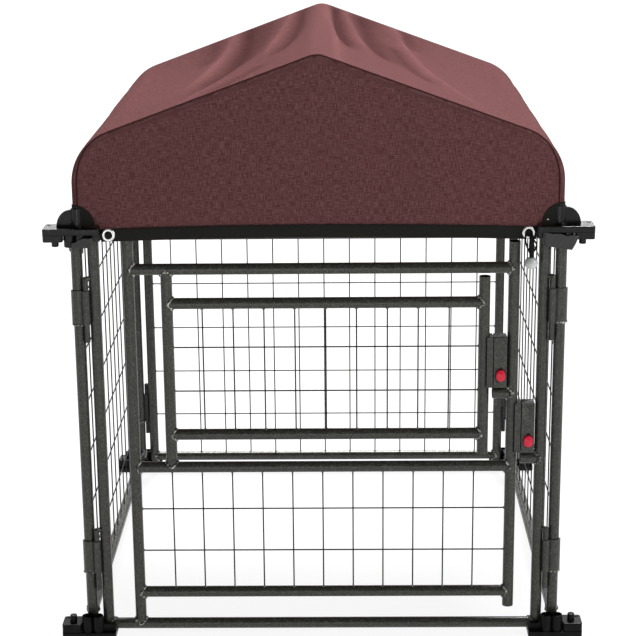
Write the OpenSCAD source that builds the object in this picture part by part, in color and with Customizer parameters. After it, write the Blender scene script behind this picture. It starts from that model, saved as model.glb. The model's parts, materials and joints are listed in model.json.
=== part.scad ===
// Outdoor dog kennel run: welded wire panels in round steel tube, a gate with a
// feed door in its upper half, moulded corner brackets and a cloth gable canopy.
// Millimetres, +Z up, front facing -Y, origin on the ground at the plan centre.

/* [Tube and wire] */
// Outside diameter of the frame tube
tube_d = 25.4; // [22:0.1:28]
// Wall of the frame tube
tube_wall = 1.5; // [1:0.1:2.5]
// Diameter of the mesh wire
wire_d = 3.2; // [2.4:0.1:4.5]
// Gap at a coped and welded tube end
weld_gap = 0.15; // [0.1:0.05:0.3]

/* [Frame] */
// Between the side panels, upright centre to upright centre
side_span = 1074; // [950:1:1300]
// Between the front and back panels, upright centre to upright centre
depth_span = 1078; // [950:1:1300]
// From the ground to the top face of the top brackets
frame_h = 978; // [940:1:1150]
// From a side upright to the front or back upright beside it
corner_pitch = 37; // [35:0.5:42]
// Height of the side panels' bottom rail, and drop of their top rail
side_rail_h = 55; // [55:1:80]
// Height of the back panel's bottom rail
back_rail_h = 45; // [44:1:80]

/* [Wire mesh] */
// Pitch of the upright wires in the gate and the feed door
door_pitch = 69; // [40:1:110]
// Pitch of the upright wires in the side and back panels
panel_pitch = 72.5; // [40:0.5:110]
// Nominal row pitch in the gate and the feed door
door_row = 103; // [60:1:160]
// Nominal row pitch in the side and back panels
panel_row = 131; // [60:1:200]
// Least distance from a post's centre to its nearest wire
wire_margin = 62; // [40:1:75]

/* [Gate] */
// From the left front upright to the gate's hinge post
hinge_gap = 76; // [60:1:100]
// From the gate's latch post to the right front upright
latch_gap = 66; // [66:1:90]
// Between the gate's outer rails and the front sill or top rail
gate_rail_gap = 80; // [60:1:110]
// Height of the gate's middle rail
gate_mid_h = 410; // [360:1:420]
// How far the latch post runs below the gate's bottom rail
post_tail = 36; // [20:1:44]

/* [Feed door] */
// From the gate's hinge post to the feed door's hinge post
feed_hinge_gap = 84; // [60:1:120]
// From the feed door's latch post to the gate's latch post
feed_latch_gap = 65; // [65:1:90]
// Between the feed door's rails and the gate's rails
feed_rail_gap = 79; // [60:1:100]
// Gap between the top of the feed door's latch post and the gate's top rail
feed_top_gap = 7; // [4:1:20]
// Gap between the foot of the feed door's latch post and the gate's middle rail
feed_low_gap = 18; // [4:1:30]

/* [Pivots] */
// Height of a pivot collar
collar_h = 7; // [5:0.5:12]
// Length of a pivot spigot inside its post
spigot_l = 30; // [15:1:50]
// Radial running clearance of a spigot
pivot_clear = 0.06; // [0.03:0.01:0.1]
// End float between a post and its collar
end_float = 0.4; // [0.3:0.1:1]

/* [Latches] */
// Height of a latch slider
latch_h = 118; // [100:1:130]
// Width of a latch slider
latch_w = 29.5; // [29:0.5:30.5]
// Height of the gate slider's lower edge
gate_latch_h = 446; // [430:1:460]
// Height of the feed door slider's lower edge
feed_latch_h = 602; // [590:1:640]
// From a latch post's centre line to the slider's front face
latch_front = 17; // [16:0.5:20]
// Diameter of a strike stub
strike_d = 28; // [24:0.5:30]
// Length of a strike stub
strike_l = 32; // [28:0.5:34]
// Gap between a strike stub and the slider above it
strike_gap = 1.5; // [1:0.1:3]
// Thickness of the leg behind a strike stub
leg_t = 4.4; // [3:0.1:6]
// How far the feed door slider's leg reaches below its strike
feed_leg_over = 25; // [0:1:30]
// How far the gate slider's leg reaches below its strike
gate_leg_over = 0; // [0:1:10]
// Width of a red button
button_w = 20.5; // [16:0.5:21]
// Height of a red button
button_h = 27; // [22:0.5:34]
// How far a red button stands proud
button_proud = 8; // [6:0.5:11]
// Press travel of a red button
button_travel = 5; // [3:0.5:5]

/* [Corner links] */
// From the ground to the lower end of a lower link sleeve
link_h = 155; // [130:1:200]
// From the top face to the upper end of an upper link sleeve
link_top = 146; // [130:1:200]
// Length of a link sleeve
sleeve_h = 78; // [50:1:100]
// Outside diameter of a link sleeve
sleeve_d = 18; // [16:0.5:21]
// Diameter of a link pin
pin_d = 11.8; // [9:0.1:12.4]
// How far a link pin shows below its sleeve
pin_below = 42; // [20:1:50]
// How far a link pin shows above its sleeve
pin_above = 32; // [24:1:45]

/* [Corner brackets] */
// Reach of a bracket outwards from the side upright
bracket_out = 68; // [66:1:80]
// Reach of a bracket inwards from the side upright
bracket_in = 57; // [56:1:62]
// Reach of a bracket beyond the front or back panel
bracket_front = 42; // [41:0.5:46]
// Floor under the uprights
bracket_floor = 8; // [6:0.5:10]
// Height of the block round the uprights
block_h = 30; // [26:0.5:32]
// Outside diameter of a linking cup
cup_d = 25.4; // [24:0.1:26]
// Bore of a linking cup
cup_bore = 20; // [16:0.5:21]
// Height of a linking cup on a foot
cup_h = 53; // [46:1:60]
// Height of a linking cup on a top bracket
top_cup_h = 42; // [40:1:60]
// Diameter of a linking peg
peg_d = 16; // [12:0.5:18]
// Height of a linking peg on a foot
peg_h = 52; // [44:1:60]
// Height of a linking peg on a top bracket
top_peg_h = 43; // [38:1:60]

/* [Roof] */
// Diameter of the roof hoop tube
hoop_d = 16; // [14:0.5:18]
// From a side upright's centre in to the hoop leg
hoop_in = 6; // [3:0.5:9]
// From the front or back panel out to the hoop
hoop_out = 5; // [4:0.5:7]
// Height of the straight hoop leg's upper end above the bracket
hoop_leg = 94; // [70:1:140]
// Bend radius of the hoop's shoulder
shoulder_r = 115; // [80:1:150]
// Bend radius of the hoop's apex
apex_r = 40; // [25:1:70]
// Pitch of the roof
roof_pitch = 20.1; // [12:0.1:30]
// Height of the bracket boss that holds a hoop leg
boss_h = 41; // [30:1:45]

/* [Canopy] */
// Thickness of the canopy solid
canopy_t = 1.5; // [1:0.1:3]
// Gap between the canopy and the hoops
canopy_gap = 0.3; // [0.2:0.1:0.6]
// Drop of the canopy's hem below the bracket's top face
hem_drop = 34; // [30:0.5:36]
// Height of the black hem band
hem_h = 29; // [22:0.5:32]
// Outside diameter of a grommet
grommet_d = 31; // [26:0.5:32]
// Bore of a grommet
grommet_bore = 13; // [11:0.5:14]
// From the bracket's inner end to the grommet's centre
grommet_in = 18; // [17:0.5:24]
// Diameter of the elastic cord
cord_d = 6; // [4:0.5:7]
// Diameter of the ball on the elastic cord
ball_d = 29; // [24:0.5:29]

/* [Hidden] */
$fn = 64;
steel = [0.23, 0.23, 0.21];
wire_grey = [0.20, 0.20, 0.19];
black = [0.08, 0.08, 0.08];
maroon = [0.40, 0.24, 0.25];
red = [0.85, 0.12, 0.22];

// Corner and panel places
tube_r = tube_d / 2;
side_x = side_span / 2;
end_y = depth_span / 2;
front_y = -end_y;
front_x = side_x - corner_pitch;
seat_gap = 0.3;
seat_clear = 0.15;
upright_low = bracket_floor + seat_gap;
upright_high = frame_h - upright_low;
sill_z = upright_low + tube_r;
top_rail_z = frame_h - sill_z;
side_top_z = frame_h - side_rail_h;

// Gate and feed door places
hinge_x = -front_x + hinge_gap;
latch_x = front_x - latch_gap;
gate_low_z = sill_z + gate_rail_gap;
gate_top_z = top_rail_z - gate_rail_gap;
feed_hinge_x = hinge_x + feed_hinge_gap;
feed_latch_x = latch_x - feed_latch_gap;
feed_low_z = gate_mid_h + feed_rail_gap;
feed_top_z = gate_top_z - feed_rail_gap;
spigot_r = tube_r - tube_wall - pivot_clear;

// Wires
wire_gap = 0.03;
wire_off = wire_d / 2 + wire_gap;

// Latch sections, measured out from a latch post's centre
strike_r = strike_d / 2;
strike_wall = 2;
strike_root = 8;
latch_run = 0.4;
groove = 1.5;
guide_in = 6;
guide_proud = 7.3;
guide_face = tube_r + guide_proud;
slide_in = guide_face + groove;
slide_out = slide_in + latch_w;
neck_w = 6;
neck_l = 5;
head_w = 18;
head_t = 4;
leg_clear = 0.6;
leg_w = 16;
leg_in = 4;
latch_back = strike_r + leg_clear + leg_t;
button_off = 1;
button_u = slide_in + latch_w / 2 + button_off;
button_z = 29;
button_stem_r = 6;
button_sunk = 0.5;
pocket_clear = 0.4;
pocket_spare = 0.5;
pocket_deep = button_sunk + button_travel + pocket_spare;
stem_l = 12.5;
stem_bore_deep = 23;
spring_wall = 1;
spring_clear = 0.5;

// Corner link places, measured from a side upright
sleeve_r = sleeve_d / 2;
pin_clear = 0.1;
pin_r = pin_d / 2;
saddle_t = 3.6;
link_a = -corner_pitch / 2;
link_b = sqrt(pow(tube_r + sleeve_r + weld_gap, 2) - pow(link_a, 2));
link_levels = [link_h, frame_h - link_top - sleeve_h];

// Bracket places, measured from a side upright
bracket_back = 18;
plate_h = 14;
corner_r = 6;
socket_r = tube_r + seat_clear;
socket_wall = 4.3;
boss_round = tube_r + socket_wall;
boss_round_h = 38;
cup_out = 14.3;
cup_b = tube_r + cup_out;
cup_a = 9.5;
cup_merge = 1;
cup_pitch = cup_d - cup_merge;
slot_clear = 0.05;
slot_half = tube_r + slot_clear;
cup_floor = 10;
peg_block = 44;
peg_block_h = 35;
top_peg_block_h = 30;
peg_block_in = 2;
peg_in = 25;
peg_a = bracket_out - peg_in;
peg_b = 20;
tie_hole_r = 3.5;
tie_hole_in = 10;

// Roof places
hoop_r = hoop_d / 2;
hoop_wall = 1.2;
hoop_y = end_y + hoop_out;
hoop_half = side_x - hoop_in;
hoop_foot_z = frame_h + seat_gap;
hoop_side_z = frame_h + hoop_leg;
shoulder_x = hoop_half - shoulder_r;
apex_z = (sin(roof_pitch) * shoulder_x + cos(roof_pitch) * hoop_side_z + shoulder_r - apex_r)
    / cos(roof_pitch);
slope_l = (shoulder_x + (shoulder_r - apex_r) * sin(roof_pitch)) / cos(roof_pitch);
butt_gap = 0.1;
hoop_socket_clear = 0.1;
boss_wall = 5.5;
boss_r = hoop_r + boss_wall;
boss_a = -hoop_in;
gusset_t = 12;
gusset_run = 46;
gusset_drop = 4;
gusset_steps = 8;

// Canopy places
canopy_in = hoop_r + canopy_gap;
canopy_out = canopy_in + canopy_t;
cloth_in_y = hoop_y + canopy_in;
cloth_y = hoop_y + canopy_out;
hem_z = frame_h - hem_drop;
notch_gap = 1.2;
notch_x = side_x - bracket_in - notch_gap;
notch_y = end_y - bracket_back - notch_gap;
boss_clear = 1.5;
boss_notch_x = hoop_half - boss_r - boss_clear;
boss_notch_y = hoop_y - boss_r - boss_clear;
boss_notch_z = frame_h + boss_h + boss_clear;
hem_t = 2;
hem_gap = 0.1;
hem_face_y = cloth_y + hem_gap + hem_t;
patch_t = 1.5;
patch_r = 48;
patch_z = frame_h + boss_clear;
grommet_x = side_x - bracket_in - grommet_in;
grommet_rise = 1.5;
grommet_z = hem_z + hem_h / 2 + grommet_rise;
grommet_lip = 4.3;
grommet_wall = 1.7;
grommet_clear = 0.2;
cord_r = cord_d / 2;
knot_swell = 0.5;
cord_clear = 0.3;
cord_y = -(hem_face_y + hem_gap + grommet_lip + cord_r + knot_swell + cord_clear);
neck_r = 5.5;
cord_hang = 15;
neck_top_z = hem_z - cord_hang;
neck_h = 22;
ball_shift = 6;
ball_gap = 0.1;
ball_z = neck_top_z - neck_h - ball_d / 2 - ball_gap;

// Points along an arc in the X-Z plane, from angle a0 to a1
function arc(cx, cz, r, a0, a1, n) =
    [for (i = [0:n]) let (a = a0 + (a1 - a0) * i / n) [cx + r * cos(a), cz + r * sin(a)]];

// Gable outline that lies a distance out from the hoop's centre line, down to the height low
function gable(out, low) = concat(
    [[hoop_half + out, low]],
    arc(shoulder_x, hoop_side_z, shoulder_r + out, 0, 90 - roof_pitch, 14),
    arc(0, apex_z, apex_r + out, 90 - roof_pitch, 90 + roof_pitch, 10),
    arc(-shoulder_x, hoop_side_z, shoulder_r + out, 90 + roof_pitch, 180, 14),
    [[-hoop_half - out, low]]);

// Bulged edge of a bracket's web, from its foot on the plate up to the hoop boss
function gusset_edge() = let (rise = boss_h - gusset_drop, run = gusset_run - boss_r) concat(
    [for (i = [0:gusset_steps]) let (a = 90 * i / gusset_steps) [boss_r + run * cos(a), rise * sin(a)]],
    [[0, rise]]);

// Hollow tube standing on the X-Y plane
module pipe(d, wall, h) {
    difference() {
        cylinder(d = d, h = h);
        translate([0, 0, -1]) cylinder(d = d - 2 * wall, h = h + 2);
    }
}

// Straight solid rod from p to q
module rod(p, q, r) {
    v = q - p;
    translate(p) rotate([0, acos(v[2] / norm(v)), atan2(v[1], v[0])]) cylinder(r = r, h = norm(v));
}

// Post of frame tube
module post(x, y, low, high) {
    color(steel) translate([x, y, low]) pipe(tube_d, tube_wall, high - low);
}

// Cut that copes a rail to an upright of frame tube
module cope(x, y, z) {
    translate([x, y, z - tube_d]) cylinder(r = tube_r + weld_gap, h = 2 * tube_d);
}

// Rail along X between two post centres, coped at both ends
module rail_x(y, z, xa, xb) {
    color(steel) difference() {
        translate([xa, y, z]) rotate([0, 90, 0]) pipe(tube_d, tube_wall, xb - xa);
        cope(xa, y, z);
        cope(xb, y, z);
    }
}

// Rail along Y between the uprights of a side panel
module rail_y(x, z) {
    color(steel) difference() {
        translate([x, -end_y, z]) rotate([-90, 0, 0]) pipe(tube_d, tube_wall, depth_span);
        cope(x, -end_y, z);
        cope(x, end_y, z);
    }
}

// Welded mesh in the X-Z plane between two posts and two rails
module mesh(xa, xb, low, high, pitch, row) {
    count = floor((xb - xa - 2 * wire_margin) / pitch) + 1;
    first = (xa + xb) / 2 - (count - 1) * pitch / 2;
    rows = round((high - low) / row);
    inset = tube_r + wire_gap;
    color(wire_grey) {
        for (i = [0:count - 1])
            translate([first + i * pitch, -wire_off, low + inset])
                cylinder(d = wire_d, h = high - low - 2 * inset, $fn = 24);
        for (j = [1:rows - 1])
            translate([xa + inset, wire_off, low + (high - low) * j / rows])
                rotate([0, 90, 0]) cylinder(d = wire_d, h = xb - xa - 2 * inset, $fn = 24);
    }
}

// Pivot on a rail at z, pointing up (dir 1) or down (dir -1): a coped collar and a spigot
module pivot(x, z, dir) {
    color(steel) translate([x, front_y, z]) mirror([0, 0, dir > 0 ? 0 : 1]) difference() {
        union() {
            cylinder(r = tube_r, h = tube_r + collar_h);
            cylinder(r = spigot_r, h = tube_r + collar_h + spigot_l);
        }
        translate([-tube_d, 0, 0]) rotate([0, 90, 0])
            cylinder(r = tube_r + weld_gap, h = 2 * tube_d);
    }
}

// Strike stub to the left of a post of frame tube, its top just under the slider above
module strike(post_x, slider_z) {
    z = slider_z - strike_gap - strike_r;
    color(steel) difference() {
        translate([post_x - strike_root, front_y, z]) rotate([0, -90, 0])
            pipe(strike_d, strike_wall, tube_r + strike_l - strike_root);
        cope(post_x, front_y, z);
    }
}

// Fixed guide on the right of a latch post: a saddle and a T rail
module latch_guide(post_x, z) {
    color(steel) translate([post_x, front_y, z]) difference() {
        union() {
            translate([guide_in, -latch_front, 0])
                cube([guide_face - guide_in, latch_front + latch_back, latch_h]);
            translate([guide_face - 1, -neck_w / 2, 0]) cube([neck_l + 2, neck_w, latch_h]);
            translate([guide_face + neck_l, -head_w / 2, 0]) cube([head_t, head_w, latch_h]);
        }
        translate([0, 0, -1]) cylinder(r = tube_r + weld_gap, h = latch_h + 2);
    }
}

// Stadium outline of the red button, grown by a clearance
module button_shape(grow) {
    flat = button_h - button_w;
    square([button_w + 2 * grow, flat], center = true);
    for (s = [-1, 1]) translate([0, s * flat / 2]) circle(r = button_w / 2 + grow);
}

// Sliding latch body on the guide's T rail, with a leg that drops behind the strike
module latch_slider(post_x, z, leg_over) {
    leg_l = strike_gap + strike_d + leg_over;
    color(steel) translate([post_x, front_y, z]) difference() {
        union() {
            translate([slide_in, -latch_front, 0]) cube([latch_w, latch_front + latch_back, latch_h]);
            translate([slide_out - leg_w - leg_in, latch_back - leg_t, -leg_l])
                cube([leg_w, leg_t, leg_l + 1]);
        }
        translate([slide_in - 1, -neck_w / 2 - latch_run, -1])
            cube([guide_face + neck_l - slide_in + 1, neck_w + 2 * latch_run, latch_h + 2]);
        translate([guide_face + neck_l - latch_run, -head_w / 2 - latch_run, -1])
            cube([head_t + 2 * latch_run, head_w + 2 * latch_run, latch_h + 2]);
        translate([button_u, -latch_front + pocket_deep, button_z]) rotate([90, 0, 0])
            linear_extrude(pocket_deep + 1) button_shape(pocket_clear);
        translate([button_u, -latch_front, button_z]) rotate([-90, 0, 0])
            cylinder(r = button_stem_r, h = stem_bore_deep);
    }
}

// Red push button: a domed stadium cap on a round stem
module latch_button(post_x, z) {
    dome_r = button_h;
    color(red) translate([post_x + button_u, front_y - latch_front + button_sunk, z + button_z])
        rotate([90, 0, 0]) {
            intersection() {
                linear_extrude(button_proud + button_sunk) button_shape(0);
                translate([0, 0, button_proud + button_sunk - dome_r]) sphere(r = dome_r);
            }
            translate([0, 0, -stem_l]) cylinder(r = button_stem_r - pivot_clear, h = stem_l + 1);
        }
}

// Return spring in the button's bore
module button_spring(post_x, z) {
    free_l = stem_bore_deep - button_sunk - stem_l - 2 * wire_gap;
    seat_y = front_y - latch_front + button_sunk + stem_l + wire_gap;
    color("silver")
        translate([post_x + button_u, seat_y, z + button_z])
            rotate([-90, 0, 0]) pipe(2 * (button_stem_r - spring_clear), spring_wall, free_l);
}

// Puts a shape made at a side upright's foot, +X and +Y outwards, at one corner
module at_corner(sx, sy) {
    translate([sx * side_x, sy * end_y, 0])
        mirror([sx < 0 ? 1 : 0, 0, 0]) mirror([0, sy < 0 ? 1 : 0, 0]) children();
}

// Rectangle with round corners from one corner point to another
module round_plate(a0, b0, a1, b1) {
    translate([a0 + corner_r, b0]) square([a1 - a0 - 2 * corner_r, b1 - b0]);
    translate([a0, b0 + corner_r]) square([a1 - a0, b1 - b0 - 2 * corner_r]);
    for (a = [a0 + corner_r, a1 - corner_r], b = [b0 + corner_r, b1 - corner_r])
        translate([a, b]) circle(r = corner_r);
}

// Moulded corner bracket standing on its plate, with the heights of its cups, peg and arm
module corner_block(cups_h, pin_h, arm_h) {
    cups = [cup_a, cup_a - cup_pitch];
    difference() {
        union() {
            linear_extrude(plate_h) round_plate(-bracket_in, -bracket_back, bracket_out, bracket_front);
            linear_extrude(block_h) round_plate(-bracket_in, -bracket_back, bracket_back, cup_b);
            linear_extrude(arm_h)
                round_plate(bracket_out - peg_block, -bracket_back / 2, bracket_out,
                    bracket_front - peg_block_in);
            cylinder(r = boss_round, h = boss_round_h);
            for (a = cups) translate([a, cup_b, 0]) cylinder(d = cup_d, h = cups_h);
            translate([peg_a, peg_b, 0]) cylinder(d = peg_d, h = pin_h);
        }
        for (a = [0, -corner_pitch]) translate([a, 0, bracket_floor]) cylinder(r = socket_r, h = cup_h);
        translate([-bracket_in - 1, -slot_half, bracket_floor])
            cube([bracket_in + 1 - corner_pitch, 2 * slot_half, cup_h]);
        for (a = cups) translate([a, cup_b, cup_floor]) cylinder(d = cup_bore, h = cup_h);
        translate([bracket_out - tie_hole_in, 0, -1]) cylinder(r = tie_hole_r, h = cup_h);
    }
}

// Corner foot on the ground
module foot(sx, sy) {
    color(black) at_corner(sx, sy) corner_block(cup_h, peg_h, peg_block_h);
}

// Top bracket: the same block upside down, with a boss and a web for the hoop leg
module top_bracket(sx, sy) {
    color(black) at_corner(sx, sy) translate([0, 0, frame_h]) difference() {
        union() {
            mirror([0, 0, 1]) corner_block(top_cup_h, top_peg_h, top_peg_block_h);
            translate([boss_a, hoop_out, 0]) {
                cylinder(r = boss_r, h = boss_h);
                translate([0, gusset_t / 2, 0]) rotate([90, 0, 0]) linear_extrude(gusset_t)
                    polygon(concat([[0, 0]], gusset_edge()));
            }
        }
        translate([boss_a, hoop_out, 0]) cylinder(r = hoop_r + hoop_socket_clear, h = boss_h + 1);
    }
}

// Sleeves with half-round saddles on the side uprights
module corner_sleeves() {
    color(steel) for (sx = [-1, 1], sy = [-1, 1], low = link_levels)
        at_corner(sx, sy) translate([0, 0, low]) difference() {
            union() {
                translate([link_a, link_b, 0]) cylinder(r = sleeve_r, h = sleeve_h);
                intersection() {
                    cylinder(r = tube_r + saddle_t, h = sleeve_h);
                    translate([-tube_d, 0, 0]) cube([2 * tube_d, tube_d, sleeve_h]);
                }
            }
            translate([0, 0, -1]) cylinder(r = tube_r + weld_gap, h = sleeve_h + 2);
            translate([link_a, link_b, -1]) cylinder(r = pin_r + pin_clear, h = sleeve_h + 2);
        }
}

// Angled pins welded to the front and back uprights, dropped through the sleeves
module corner_hooks() {
    color(steel) for (sx = [-1, 1], sy = [-1, 1], low = link_levels)
        at_corner(sx, sy) difference() {
            bend = [link_a, link_b, low + sleeve_h + pin_above - pin_r];
            union() {
                rod([link_a, link_b, low - pin_below], bend, pin_r);
                translate(bend) sphere(r = pin_r);
                rod(bend, [-corner_pitch, 0, bend[2]], pin_r);
            }
            translate([-corner_pitch, 0, low - pin_below])
                cylinder(r = tube_r + weld_gap, h = sleeve_h + pin_below + pin_above);
        }
}

// Ring section of the hoop tube
module hoop_ring() {
    difference() {
        circle(r = hoop_r);
        circle(r = hoop_r - hoop_wall);
    }
}

// Bent part of a hoop in the X-Z plane, about a centre point, from angle a0 through a turn
module hoop_bend(x, z, r, a0, turn) {
    translate([x, 0, z]) rotate([90, 0, 0]) rotate([0, 0, a0])
        rotate_extrude(angle = turn) translate([r, 0]) hoop_ring();
}

// Roof hoop at the front or the rear: legs, shoulders, rafters and an apex bend, butted end to end
module hoop(y) {
    color(steel) translate([0, y, 0]) {
        for (s = [0, 1]) mirror([s, 0, 0]) {
            translate([hoop_half, 0, hoop_foot_z])
                linear_extrude(hoop_side_z - butt_gap - hoop_foot_z) hoop_ring();
            hoop_bend(shoulder_x, hoop_side_z, shoulder_r, 0, 90 - roof_pitch);
            translate([shoulder_x, 0, hoop_side_z]) rotate([0, roof_pitch - 90, 0])
                translate([shoulder_r, 0, butt_gap])
                    linear_extrude(slope_l - 2 * butt_gap) hoop_ring();
        }
        hoop_bend(0, apex_z, apex_r, 90 - roof_pitch, 2 * roof_pitch);
    }
}

// Ridge pole between the two hoops
module ridge_pole() {
    end = hoop_y - hoop_r - weld_gap;
    color(steel) translate([0, -end, apex_z + apex_r]) rotate([-90, 0, 0])
        pipe(hoop_d, hoop_wall, 2 * end);
}

// Prism of the gable outline along Y
module gable_prism(out, half_y, low) {
    translate([0, half_y, 0]) rotate([90, 0, 0]) linear_extrude(2 * half_y) polygon(gable(out, low));
}

// Places for the four grommets, facing outwards along -Y
module at_grommets() {
    for (sx = [-1, 1], turn = [0, 180])
        rotate([0, 0, turn]) translate([sx * grommet_x, 0, grommet_z]) children();
}

// Cloth canopy, open underneath, cut away round the brackets
module canopy() {
    far = side_span;
    color(maroon) difference() {
        gable_prism(canopy_out, cloth_y, hem_z);
        gable_prism(canopy_in, cloth_in_y, hem_z - 1);
        for (sx = [0, 1], sy = [0, 1]) mirror([sx, 0, 0]) mirror([0, sy, 0]) {
            translate([notch_x, notch_y, hem_z - 1]) cube([far, far, patch_z - hem_z + 1]);
            translate([boss_notch_x, boss_notch_y, hem_z - 1]) cube([far, far, boss_notch_z - hem_z + 1]);
        }
        at_grommets() rotate([90, 0, 0])
            cylinder(r = grommet_bore / 2 + grommet_wall + grommet_clear, h = far);
    }
}

// Black hem bands and the half-round corner patches sewn to the gable ends
module canopy_binding() {
    color(black) {
        for (turn = [0, 180]) rotate([0, 0, turn]) difference() {
            translate([-notch_x, -hem_face_y, hem_z]) cube([2 * notch_x, hem_t, hem_h]);
            for (sx = [-1, 1]) translate([sx * grommet_x, 0, grommet_z]) rotate([90, 0, 0])
                cylinder(r = grommet_bore / 2 + grommet_wall + grommet_clear, h = side_span);
        }
        for (sx = [0, 1], sy = [0, 1]) mirror([sx, 0, 0]) mirror([0, sy, 0])
            translate([hoop_half, cloth_y + hem_gap + patch_t, patch_z]) rotate([90, 0, 0])
                linear_extrude(patch_t) difference() {
                    circle(r = patch_r);
                    translate([-2 * patch_r, -2 * patch_r]) square([4 * patch_r, 2 * patch_r]);
                    translate([boss_notch_x - hoop_half, -1])
                        square([2 * patch_r, boss_notch_z - patch_z + 1]);
                    translate([canopy_out, -1]) square([patch_r, 2 * patch_r]);
                }
    }
}

// Rolled metal grommets through the hem and the cloth
module grommets() {
    ring_r = (grommet_d + grommet_bore) / 4;
    ring_h = (grommet_d - grommet_bore) / 4;
    barrel = hem_face_y + hem_gap - cloth_in_y;
    color("silver") at_grommets() translate([0, -hem_face_y - hem_gap, 0]) rotate([90, 0, 0])
        rotate_extrude() {
            intersection() {
                translate([ring_r, 0]) circle(r = ring_h);
                square([grommet_d, grommet_lip]);
            }
            translate([grommet_bore / 2, -barrel]) square([grommet_wall, barrel + 1]);
        }
}

// Elastic cords in the grommets; the front right one hangs down to the ball
module bungee_cords() {
    color(black) {
        for (sx = [-1, 1], turn = [0, 180]) rotate([0, 0, turn])
            rod([sx * grommet_x, -cloth_in_y, grommet_z], [sx * grommet_x, cord_y, grommet_z], cord_r);
        translate([grommet_x, cord_y, grommet_z]) sphere(r = cord_r + knot_swell);
        rod([grommet_x, cord_y, grommet_z], [grommet_x + ball_shift, cord_y, neck_top_z - cord_r], cord_r);
        translate([grommet_x + ball_shift, cord_y, neck_top_z - neck_h]) cylinder(r = neck_r, h = neck_h);
    }
}

// Ball that hangs on the front right cord
module bungee_ball() {
    color("lightgrey") translate([grommet_x + ball_shift, cord_y, ball_z]) sphere(d = ball_d);
}

post(-front_x, front_y, upright_low, upright_high);  // front_left_upright
post(front_x, front_y, upright_low, upright_high);  // front_right_upright
rail_x(front_y, sill_z, -front_x, front_x);  // front_sill
rail_x(front_y, top_rail_z, -front_x, front_x);  // front_top_rail
union() {  // gate_pivots
    pivot(hinge_x, sill_z, 1);
    pivot(hinge_x, top_rail_z, -1);
}
strike(front_x, gate_latch_h);  // gate_strike
post(-side_x, -end_y, upright_low, upright_high);  // left_front_upright
post(-side_x, end_y, upright_low, upright_high);  // left_rear_upright
rail_y(-side_x, side_rail_h);  // left_bottom_rail
rail_y(-side_x, side_top_z);  // left_top_rail
translate([-side_x, 0, 0]) rotate([0, 0, -90])  // left_mesh
    mesh(-end_y, end_y, side_rail_h, side_top_z, panel_pitch, panel_row);
post(side_x, -end_y, upright_low, upright_high);  // right_front_upright
post(side_x, end_y, upright_low, upright_high);  // right_rear_upright
rail_y(side_x, side_rail_h);  // right_bottom_rail
rail_y(side_x, side_top_z);  // right_top_rail
translate([side_x, 0, 0]) rotate([0, 0, 90])  // right_mesh
    mesh(-end_y, end_y, side_rail_h, side_top_z, panel_pitch, panel_row);
post(-front_x, end_y, upright_low, upright_high);  // back_left_upright
post(front_x, end_y, upright_low, upright_high);  // back_right_upright
rail_x(end_y, back_rail_h, -front_x, front_x);  // back_bottom_rail
rail_x(end_y, top_rail_z, -front_x, front_x);  // back_top_rail
translate([0, end_y, 0]) rotate([0, 0, 180])  // back_mesh
    mesh(-front_x, front_x, back_rail_h, top_rail_z, panel_pitch, panel_row);
corner_sleeves();
corner_hooks();
foot(-1, -1);  // front_left_foot
foot(1, -1);  // front_right_foot
foot(-1, 1);  // rear_left_foot
foot(1, 1);  // rear_right_foot
top_bracket(-1, -1);  // front_left_bracket
top_bracket(1, -1);  // front_right_bracket
top_bracket(-1, 1);  // rear_left_bracket
top_bracket(1, 1);  // rear_right_bracket
hoop(-hoop_y);  // front_hoop
hoop(hoop_y);  // rear_hoop
ridge_pole();
canopy();
canopy_binding();
grommets();
bungee_cords();
bungee_ball();
post(hinge_x, front_y, sill_z + tube_r + collar_h + end_float,  // gate_hinge_post
        top_rail_z - tube_r - collar_h - end_float);
post(latch_x, front_y, gate_low_z - post_tail, top_rail_z - tube_r - collar_h - end_float);  // gate_latch_post
rail_x(front_y, gate_top_z, hinge_x, latch_x);  // gate_top_rail
rail_x(front_y, gate_mid_h, hinge_x, latch_x);  // gate_mid_rail
rail_x(front_y, gate_low_z, hinge_x, latch_x);  // gate_bottom_rail
translate([0, front_y, 0])  // gate_mesh
    mesh(hinge_x, latch_x, gate_low_z, gate_mid_h, door_pitch, door_row);
latch_guide(latch_x, gate_latch_h);  // gate_latch_guide
strike(latch_x, feed_latch_h);  // feed_strike
union() {  // feed_pivots
    pivot(feed_hinge_x, gate_mid_h, 1);
    pivot(feed_hinge_x, gate_top_z, -1);
}
post(feed_hinge_x, front_y, gate_mid_h + tube_r + collar_h + end_float,  // feed_hinge_post
        gate_top_z - tube_r - collar_h - end_float);
post(feed_latch_x, front_y, gate_mid_h + tube_r + feed_low_gap, gate_top_z - tube_r - feed_top_gap);  // feed_latch_post
rail_x(front_y, feed_top_z, feed_hinge_x, feed_latch_x);  // feed_top_rail
rail_x(front_y, feed_low_z, feed_hinge_x, feed_latch_x);  // feed_bottom_rail
translate([0, front_y, 0])  // feed_mesh
    mesh(feed_hinge_x, feed_latch_x, feed_low_z, feed_top_z, door_pitch, door_row);
latch_guide(feed_latch_x, feed_latch_h);  // feed_latch_guide
latch_slider(latch_x, gate_latch_h, gate_leg_over);  // gate_latch_slider
latch_button(latch_x, gate_latch_h);  // gate_latch_button
button_spring(latch_x, gate_latch_h);  // gate_button_spring
latch_slider(feed_latch_x, feed_latch_h, feed_leg_over);  // feed_latch_slider
latch_button(feed_latch_x, feed_latch_h);  // feed_latch_button
button_spring(feed_latch_x, feed_latch_h);  // feed_button_spring
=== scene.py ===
import json
import math

import bpy
from mathutils import Matrix, Vector, noise

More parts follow.
